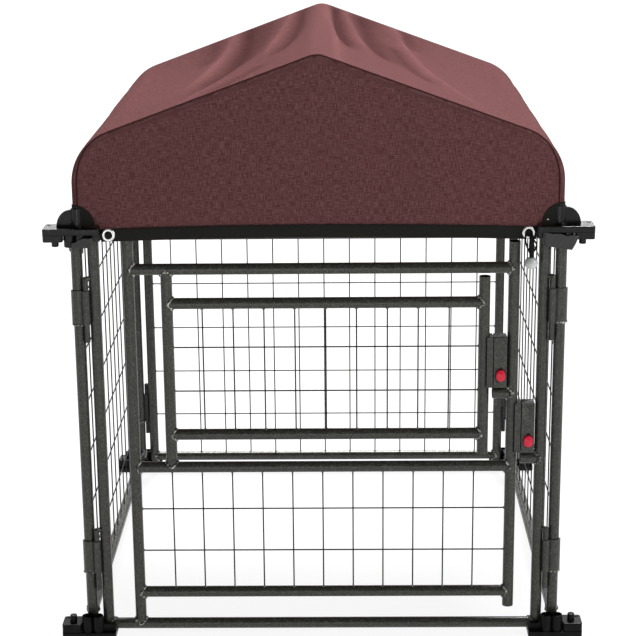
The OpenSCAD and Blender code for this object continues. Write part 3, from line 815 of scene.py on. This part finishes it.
def canopy_point(across, back):
    """Place of the cloth for a grid point, with across and back from 0 to 1."""
    run = (2 * across - 1) * half_run
    end = -1 if back < 0.5 else 1
    inwards = min(back, 1 - back)
    if inwards < gable_share:
        edge = profile(roof_run(run, hoop_depth), 0)[0]
        foot = gable_foot(run)
        share = 1 - inwards / gable_share
        spot = edge + (foot - edge) * share
        ripple = noise.noise(Vector((spot.x * 9, spot.y * 4, end))) * gable_ripple
        ripple += noise.noise(Vector((spot.x * 3, spot.y * 3, 4 + end))) * gable_swell
        free = ease(share, *ripple_top) * (1 - ease(share, *ripple_foot))
        free = free * (1 - ease(abs(spot.x), *ripple_side))
        depth = hoop_depth + cloth_out + ripple * free
        return Vector((spot.x, end * depth, spot.y))
    if inwards < gable_share + wrap_share:
        turn = (inwards - gable_share) / wrap_share * math.pi / 2
        spot = profile(roof_run(run, hoop_depth), cloth_out * math.sin(turn))[0]
        return Vector((spot.x, end * (hoop_depth + cloth_out * math.cos(turn)), spot.y))
    inner = gable_share + wrap_share
    share = (back - inner) / (1 - 2 * inner) * 2 - 1
    depth = hoop_depth * ((1 + row_crowding) * share - row_crowding * share ** 3)
    clear = 1 - ease(abs(depth), *hoop_hold)
    sloped = 1 - ease(abs(run), *bend_fade)
    way = (depth + hoop_depth) / (2 * hoop_depth)
    deepest_back = 27 / 4 * way ** 2 * (1 - way)
    sag = math.sin(math.pi * min(abs(run) / bend_start, 1)) ** 0.5 * deepest_back
    dip = 1 - math.exp(-(depth + hoop_depth) / lip_run)
    lift = fold_height(run, depth) * sloped * clear - sag_depth * sag - lip_dip * dip * sloped * (1 - way)
    lift += noise.noise(Vector((run * 11, depth * 7, 2.5))) * roof_ripple * clear
    if lift < 0:
        lift = lift * ease(abs(run), *pole_room)
    spot = profile(roof_run(run, depth), cloth_out + lift)[0]
    return Vector((spot.x, depth, spot.y))


cloth = Finish("burgundy_woven_cloth", {
    "Sheen Weight": 0.095, "Sheen Roughness": 0.35, "Sheen Tint": (0.95, 0.58, 0.61, 1),
    "Specular IOR Level": 0.0})
cloth_place = cloth.node("ShaderNodeUVMap", {"uv_map": "cloth_metres"}, {})
warp_place = cloth.node("ShaderNodeMapping", {}, {"Vector": cloth_place, "Scale": (620, 60, 1)})
weft_place = cloth.node("ShaderNodeMapping", {}, {"Vector": cloth_place, "Scale": (60, 620, 1)})
warp = cloth.speckle(warp_place, 1.0, 3)
weft = cloth.speckle(weft_place, 1.0, 3)
weave = cloth.waves(cloth_place, "X", 210, 0.4) * cloth.waves(cloth_place, "Y", 210, 0.4)
heather = cloth.spread(warp + weft + 0.25 * weave, 0.85, 1.35, 0, 1)
# Painted fold shade: a point attribute from the folds' heights makes the cloth lighter on the ridges and
# darker in the valleys, as light and shade on the folds would, with a little random yarn tone mixed in.
crease = cloth.node("ShaderNodeAttribute", {"attribute_name": "crease"}, {}, "Fac")
painted_fold_shade_and_yarn_tone = cloth.spread(crease + 0.2 * warp, -0.9, 1.1, 0, 1)
thread_dark = cloth.mixed(painted_fold_shade_and_yarn_tone, (0.042, 0.013, 0.013, 1), (0.122, 0.043, 0.043, 1))
thread_light = cloth.mixed(painted_fold_shade_and_yarn_tone, (0.105, 0.046, 0.046, 1), (0.280, 0.133, 0.136, 1))
cloth.colour(heather, thread_dark, thread_light)
cloth.feed("Roughness", cloth.spread(weft, 0.3, 0.7, 0.55, 0.75))
cloth.relief(weave + 0.6 * warp + 0.6 * weft, 0.0005)

canopy = fresh(bpy.ops.mesh.primitive_grid_add, x_subdivisions=170, y_subdivisions=178, size=1)
canopy.name = "canopy_cloth"
cloth_metres = canopy.data.uv_layers.active
cloth_metres.name = "cloth_metres"
thread_places = []
# Each roof point stores the painted fold shade, from the folds' heights made broader.
painted_fold_shades = canopy.data.attributes.new("crease", "FLOAT", "POINT")
for v in canopy.data.vertices:
    run = 2 * v.co.x * half_run
    on_gable = 0.5 - abs(v.co.y) < gable_share
    v.co = canopy_point(v.co.x + 0.5, v.co.y + 0.5)
    thread_places.append((v.co.x, v.co.z) if on_gable else (run, v.co.y))
    if abs(v.co.y) < hoop_depth:
        painted_fold_shades.data[v.index].value = fold_height(run, v.co.y, painted_fold_shade_spread) / painted_fold_shade_height
for loop, spot in zip(canopy.data.loops, cloth_metres.data):
    spot.uv = thread_places[loop.vertex_index]
face_outwards()
thick = canopy.modifiers.new("cloth_thickness", "SOLIDIFY")
thick.thickness = cloth_thick
thick.offset = -1
bpy.ops.object.modifier_apply(modifier=thick.name)
bpy.ops.object.shade_smooth()
paint(canopy, cloth)
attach(canopy, "frame")
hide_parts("canopy")

# Piping: a thin dark cord sewn into the seam where the roof cloth, wrapped over the hoop, meets the gable
# end. Its dark, unshining colour is partly the cord's own and partly painted shade, the shadow along the
# seam at the roof's edge. It follows the roof's edge, and runs further in on the upright sides.
thread_and_seam_shade_finish = Finish("dark_thread_and_seam_shade", {"Roughness": 0.8, "Specular IOR Level": 0.0})
piping_twist = thread_and_seam_shade_finish.speckle(thread_and_seam_shade_finish.place(), 700, 3)
thread_and_seam_shade_finish.colour(piping_twist, (0.022, 0.009, 0.008, 1), (0.050, 0.022, 0.020, 1))
thread_and_seam_shade_finish.relief(piping_twist, 0.0004)
piping_radius = 0.0014
seam_in = 0.0035
seam_proud = 0.0003
seam_turn = math.radians(48)
seam_steps = 220


def seam(end):
    points = []
    for i in range(seam_steps + 1):
        run = (2 * i / seam_steps - 1) * half_run
        inwards = ease(abs(run), bend_start, bend_end)
        turn = (1 - inwards) * seam_turn
        spot = profile(roof_run(run, hoop_depth), cloth_out * math.sin(turn) - seam_in * inwards)[0]
        depth = hoop_depth + cloth_out * math.cos(turn) + seam_proud
        points.append((spot.x, end * depth, spot.y))
    return drawn_wire(points, piping_radius, capped=False)


piping = one_piece([seam(-1), seam(1)], "canopy_piping_and_seam_shade", thread_and_seam_shade_finish, "frame")

# Hem: a black folded tape along the lower edge of each gable end, sewn on with two rows of stitches
# and drawn up a little in the middle. Half-round patches of the same tape guard the corners.
stitch_pitch = 0.008
stitch_half = 0.0028
stitch_thick = 0.0005
stitch_margin = 0.034
stitch_inset = 0.004
tape = Finish("black_hem_tape", {"Sheen Weight": 0.02, "Specular IOR Level": 0.12})
tape_place = tape.place()
tape_rib = tape.waves(tape_place, "DIAGONAL", 260)
tape_lint = tape.speckle(tape_place, 300, 3)
tape_fleck = tape.spread(tape_lint + 0.4 * tape_rib, 0.4, 1.0, 0, 1)
tape.colour(tape_fleck, (0.005, 0.005, 0.004, 1), (0.017, 0.017, 0.015, 1))
tape.feed("Roughness", tape.spread(tape_lint, 0.3, 0.7, 0.6, 0.8))
tape.relief(tape_rib + tape_lint, 0.0004)
tape_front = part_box("canopy_binding")[1][1]
tape_half = 0.4788
tape_height = 0.029
tape_thick = 0.0016
tape_rim = 0.0005
tape_swell = 0.0006
tape_wave = 0.0007
rim_turn = math.radians(50)
patch_radius = 0.048
patch_base = block_top - 0.0015
patch_out = cloth_out + 0.0012
boss_room = 0.0105
boss_rise = corner_cut - patch_base
grommet_low, grommet_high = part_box("grommets")
grommet_radius = (grommet_high[2] - grommet_low[2]) / 2
grommet_x = grommet_high[0] - grommet_radius
grommet_z = (grommet_high[2] + grommet_low[2]) / 2
grommet_bore = 0.0105
bore_depth = 0.02


def thickened(piece, thickness, rim):
    """Gives a sheet piece its thickness and a small round at its edges."""
    pick(piece)
    face_outwards()
    body = piece.modifiers.new("thickness", "SOLIDIFY")
    body.thickness = thickness
    body.offset = 0
    bpy.ops.object.modifier_apply(modifier=body.name)
    edge = piece.modifiers.new("soft_rim", "BEVEL")
    edge.limit_method = "ANGLE"
    edge.angle_limit = rim_turn
    edge.width = rim
    edge.segments = 2
    bpy.ops.object.modifier_apply(modifier=edge.name)
    return piece


def hem_tape(end):
    band = fresh(bpy.ops.mesh.primitive_grid_add, x_subdivisions=120, y_subdivisions=6, size=1)
    for v in band.data.vertices:
        x = v.co.x * 2 * tape_half
        share = v.co.y + 0.5
        arch = hem_arch * (1 - (x / tape_half) ** 2)
        wave = noise.noise(Vector((x * 9, share, 3 * end))) * tape_wave
        swell = tape_swell * math.sin(math.pi * share)
        face = tape_front - tape_thick / 2 + swell + wave
        v.co = Vector((x, end * face, hem_z + share * tape_height + arch))
    thickened(band, tape_thick, tape_rim)
    for side in (-1, 1):
        cutter = fresh(
            bpy.ops.mesh.primitive_cylinder_add, vertices=40, radius=grommet_bore, depth=bore_depth,
            rotation=(math.pi / 2, 0, 0), location=(side * grommet_x, end * tape_front, grommet_z))
        cut_by(band, cutter)
    return band


def patch_place(along, height, sx, sy):
    """Place on the canopy's corner, along it from the middle of its rounded edge to the side."""
    bend = patch_out * math.pi / 4
    if along < -bend:
        spot = Vector((hoop_half + along + bend, hoop_depth + patch_out))
    elif along > bend:
        spot = Vector((hoop_half + patch_out, hoop_depth - along + bend))
    else:
        turn = math.pi / 4 * (1 - along / bend)
        spot = Vector((hoop_half + patch_out * math.cos(turn), hoop_depth + patch_out * math.sin(turn)))
    return Vector((sx * spot.x, sy * spot.y, patch_base + height))


def corner_patch(sx, sy):
    patch = fresh(bpy.ops.mesh.primitive_grid_add, x_subdivisions=64, y_subdivisions=8, size=1)
    for v in patch.data.vertices:
        turn = (v.co.x + 0.5) * math.pi
        level = abs(math.cos(turn)) + 0.0001
        rise = math.sin(turn) + 0.0001
        inner = min(boss_room / level, boss_rise / rise)
        reach = inner + (patch_radius - inner) * (v.co.y + 0.5)
        v.co = patch_place(-reach * math.cos(turn), reach * math.sin(turn), sx, sy)
    return thickened(patch, tape_thick, tape_rim)


def stitch_row(end, height):
    """A row of short stitches along a hem tape, at that height above its lower edge."""
    row = fresh(bpy.ops.mesh.primitive_uv_sphere_add, segments=6, ring_count=4, radius=1)
    first = stitch_margin - tape_half
    for v in row.data.vertices:
        v.co = Vector((first + v.co.z * stitch_half, v.co.x * stitch_thick, v.co.y * stitch_thick))
    run = row.modifiers.new("stitch_run", "ARRAY")
    run.count = int(-2 * first / stitch_pitch) + 1
    run.use_relative_offset = False
    run.use_constant_offset = True
    run.constant_offset_displace = (stitch_pitch, 0, 0)
    bpy.ops.object.modifier_apply(modifier=run.name)
    for v in row.data.vertices:
        arch = hem_arch * (1 - (v.co.x / tape_half) ** 2)
        swell = tape_swell * math.sin(math.pi * height / tape_height)
        v.co = v.co + Vector((0, end * (tape_front + swell), hem_z + height + arch))
    return row


stitch_heights = (stitch_inset, tape_height - stitch_inset)
stitches = [stitch_row(end, height) for end in (-1, 1) for height in stitch_heights]
hem_stitches = one_piece(stitches, "hem_stitches", thread_and_seam_shade_finish, "frame")
trim_pieces = [hem_tape(-1), hem_tape(1)]
trim_pieces += [corner_patch(sx, sy) for sx in (-1, 1) for sy in (-1, 1)]
trim = one_piece(trim_pieces, "canopy_hem_and_patches", tape, "frame")
bpy.ops.object.shade_smooth_by_angle(angle=sharp_turn)
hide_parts("canopy_binding")

# Grommets: rolled rings of bright metal, set through the hem and the cloth near each corner and lightly
# scuffed by the cords. A small rivet of the same metal holds each patch on the right.
bright = Finish("scuffed_bright_metal", {"Metallic": 1.0})
bright_scuff = bright.speckle(bright.place(), 420, 4)
bright.colour(bright_scuff, (0.50, 0.50, 0.49, 1), (0.86, 0.86, 0.84, 1))
bright.feed("Roughness", bright.spread(bright_scuff, 0.3, 0.7, 0.16, 0.36))
bright.relief(bright_scuff, 0.0001)
dress(bright, "grommets")
rivet_radius = 0.0026
rivet_flat = 0.5
rivet_flange = 0.22
rivet_edge = 0.0008
rivet_along = -0.036
rivet_height = 0.009


def rivet(sx, sy):
    head = fresh(bpy.ops.mesh.primitive_uv_sphere_add, segments=20, ring_count=10, radius=rivet_radius)
    for v in head.data.vertices:
        rim = 1 + rivet_flange * math.exp(-(v.co.y / rivet_edge) ** 2)
        v.co = Vector((v.co.x * rim, v.co.y * rivet_flat, v.co.z * rim))
        v.co = v.co + patch_place(rivet_along, rivet_height, sx, sy)
    return head


rivets = one_piece([rivet(1, -1), rivet(1, 1)], "patch_rivets", bright, "frame")

# Corner straps: bands of grey webbing sewn to the canopy's corners and wrapped round the link cups
# and posts under the top brackets. The front right one is wide and the others are narrow.
strap_web = Finish("grey_strap_webbing", {"Specular IOR Level": 0.15, "Sheen Weight": 0.05})
strap_place = strap_web.place()
strap_rib = strap_web.waves(strap_place, "Z", 320, 0.6)
strap_lint = strap_web.speckle(strap_place, 240, 3)
strap_fleck = strap_web.spread(strap_lint + 0.3 * strap_rib, 0.4, 0.9, 0, 1)
strap_web.colour(strap_fleck, (0.048, 0.048, 0.048, 1), (0.078, 0.078, 0.078, 1))
strap_web.feed("Roughness", strap_web.spread(strap_lint, 0.3, 0.7, 0.65, 0.8))
strap_web.relief(strap_rib + strap_lint, 0.0004)
strap_face = -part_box("front_right_bracket")[0][1] + 0.0022
strap_root = 0.5535
strap_thick = 0.0012
strap_rim = 0.0004
strap_wave = 0.0007
strap_soft = 0.005
wide_low = 0.936
wide_high = 0.966
narrow_low = 0.935
narrow_high = 0.958


def wide_edges(way):
    """Heights of the wide strap's edges, some way along it. Its upper edge is slack in two places."""
    low = wide_low - 0.010 * ramp(way, 0.20, 0.68) + 0.025 * ramp(way, 0.69, 0.79)
    slack = 0.002 * math.exp(-((way - 0.36) / 0.05) ** 2) + 0.003 * math.exp(-((way - 0.6) / 0.06) ** 2)
    return low, wide_high - 0.008 * ramp(way, 0.22, 0.79) - slack


def narrow_edges(way):
    """Heights of a narrow strap's edges, some way along it. It tapers to its end."""
    return narrow_low + 0.003 * way, narrow_high - 0.010 * ease(way, 0.6, 0.95)


def strap_line(along, inner, outer):
    """Place of a strap in plan, from the front post, round the cups, and back to the side post."""
    first = strap_face - strap_root
    across = outer - inner
    if along < first:
        return Vector((inner, strap_root + along))
    if along < first + across:
        return Vector((inner + along - first, strap_face))
    return Vector((outer, strap_face - (along - first - across)))


def corner_strap(name, sx, sy, inner, outer, tail, edges):
    strap = fresh(bpy.ops.mesh.primitive_grid_add, x_subdivisions=48, y_subdivisions=8, size=1)
    length = strap_face - strap_root + outer - inner + tail
    for v in strap.data.vertices:
        way = v.co.x + 0.5
        along = way * length
        near = strap_line(along - strap_soft, inner, outer) + strap_line(along + strap_soft, inner, outer)
        spot = (near + 2 * strap_line(along, inner, outer)) / 4
        low, high = edges(way)
        share = v.co.y + 0.5
        wave = noise.noise(Vector((along * 30, share * 1.5, sx + 2 * sy))) * strap_wave
        v.co = Vector((sx * spot.x, sy * (spot.y + wave), low + (high - low) * share))
    thickened(strap, strap_thick, strap_rim)
    return one_piece([strap], name, strap_web, "frame"), length


for end, side in corners:
    sx = -1 if side == "left" else 1
    sy = -1 if end == "front" else 1
    if (end, side) == ("front", "right"):
        band, band_length = corner_strap(
            "front_right_strap", sx, sy, inner=0.4925, outer=0.5680, tail=0.028, edges=wide_edges)
    else:
        band, band_length = corner_strap(
            f"{end}_{side}_strap", sx, sy, inner=0.4970, outer=0.5410, tail=0.002, edges=narrow_edges)

# Elastic cord: a loop of braided elastic out of the front right grommet, whipped together at a neck
# and run into a milky plastic ball. The other three grommets only show a cord's end.
braid = Finish("black_braided_elastic", {"Roughness": 0.75, "Specular IOR Level": 0.2})
braid_plait = braid.waves(braid.place(), "DIAGONAL", 330, 1.5)
braid.colour(braid_plait, (0.002, 0.002, 0.002, 1), (0.012, 0.012, 0.012, 1))
braid.relief(braid_plait, 0.0005)
ball_middle = box_middle("bungee_ball")
ball_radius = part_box("bungee_ball")[1][2] - ball_middle.z
cord_radius = 0.0020
neck_foot = ball_middle.z + ball_radius - 0.0015
neck_height = 0.049
neck_radius = 0.0058
stub_radius = 0.0088
stub_length = 0.011
stub_out = cloth_out + 0.0025
knob_turn = 0.07
knob_tip = 0.45
cord_face = ball_middle.y
cord_root = -(hoop_depth + cloth_out - 0.001)


def strand(name, lean):
    """One strand of the loop, from inside the grommet, over its lip and down to the neck."""
    line = bpy.data.curves.new(name, "CURVE")
    line.dimensions = "3D"
    line.bevel_depth = cord_radius
    line.bevel_resolution = 3
    line.resolution_u = 8
    neck = ball_middle + Vector((lean * 0.0030, 0, ball_radius + 0.008))
    points = [
        Vector((grommet_x + lean * 0.0040, cord_root, grommet_z - 0.0010)),
        Vector((grommet_x + lean * 0.0050, cord_face + 0.0035, grommet_z - 0.0015)),
        Vector((grommet_x + lean * 0.0080, cord_face, grommet_z - 0.0120)),
        Vector((neck.x + lean * 0.0082, cord_face, neck.z + 0.0180)),
        neck + Vector((lean * 0.0036, 0, 0.0070)),
        neck,
    ]
    path = line.splines.new("BEZIER")
    path.bezier_points.add(len(points) - 1)
    for knot, place in zip(path.bezier_points, points):
        knot.co = place
        knot.handle_left_type = "AUTO"
        knot.handle_right_type = "AUTO"
    cord = placed(name, line)
    line.materials.append(braid.material)
    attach(cord, "frame")
    return cord, points[0], path.calc_length()


left_strand, left_exit, left_length = strand("bungee_left_strand", -1)
right_strand, right_exit, right_length = strand("bungee_right_strand", 1)


def cord_knot(place, radius, length, axis):
    """A knob of cord, fuller in the middle and ringed by its turns."""
    knob = fresh(
        bpy.ops.mesh.primitive_cylinder_add, vertices=20, radius=radius, depth=length,
        end_fill_type="TRIFAN")
    bpy.ops.object.mode_set(mode="EDIT")
    bpy.ops.mesh.select_all(action="SELECT")
    bpy.ops.mesh.subdivide(number_cuts=5)
    bpy.ops.object.mode_set(mode="OBJECT")
    for v in knob.data.vertices:
        level = v.co.z / length
        swell = max(1 - 4 * level ** 4 + knob_turn * math.cos(level * 9 * math.pi), knob_tip)
        v.co.x = v.co.x * swell
        v.co.y = v.co.y * swell
        if axis == 1:
            v.co = Vector((v.co.x, v.co.z, v.co.y))
        v.co = v.co + place
    return knob


neck_place = Vector((ball_middle.x, cord_face, neck_foot + neck_height / 2))
neck_knot = cord_knot(neck_place, neck_radius, neck_height, 2)
neck = one_piece([neck_knot], "bungee_neck", braid, "frame")
stubs = []
for sx, sy in ((-1, -1), (-1, 1), (1, 1), (1, -1)):
    stub = Vector((sx * grommet_x, sy * (hoop_depth + stub_out), grommet_z))
    stubs.append(cord_knot(stub, stub_radius, stub_length, 1))
cord_ends = one_piece(stubs, "bungee_cord_ends", braid, "frame")
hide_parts("bungee_cords")

milky = Finish("milky_ball_plastic", {
    "Subsurface Weight": 0.1, "Subsurface Scale": 0.003, "Coat Weight": 0.2})
milky_cloud = milky.speckle(milky.place(), 120, 3)
milky.colour(milky_cloud, (0.40, 0.41, 0.41, 1), (0.62, 0.63, 0.62, 1))
milky.feed("Roughness", 0.22 + 0.2 * milky_cloud)
milky.relief(milky_cloud, 0.0002)
parting_rise = 0.012
parting_width = 0.05
mouth_dip = 0.0020
mouth_spread = 0.000030
sphere = fresh(bpy.ops.mesh.primitive_uv_sphere_add, segments=48, ring_count=32, radius=ball_radius)
for v in sphere.data.vertices:
    level = v.co.z / ball_radius
    v.co = v.co * (1 + parting_rise * math.exp(-(level / parting_width) ** 2))
    mouth = math.exp(-(v.co.x ** 2 + v.co.y ** 2) / mouth_spread)
    v.co.z = v.co.z - math.copysign(mouth_dip, level) * mouth
    v.co = v.co + ball_middle
ball = one_piece([sphere], "bungee_ball_moulded", milky, "frame")
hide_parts("bungee_ball")
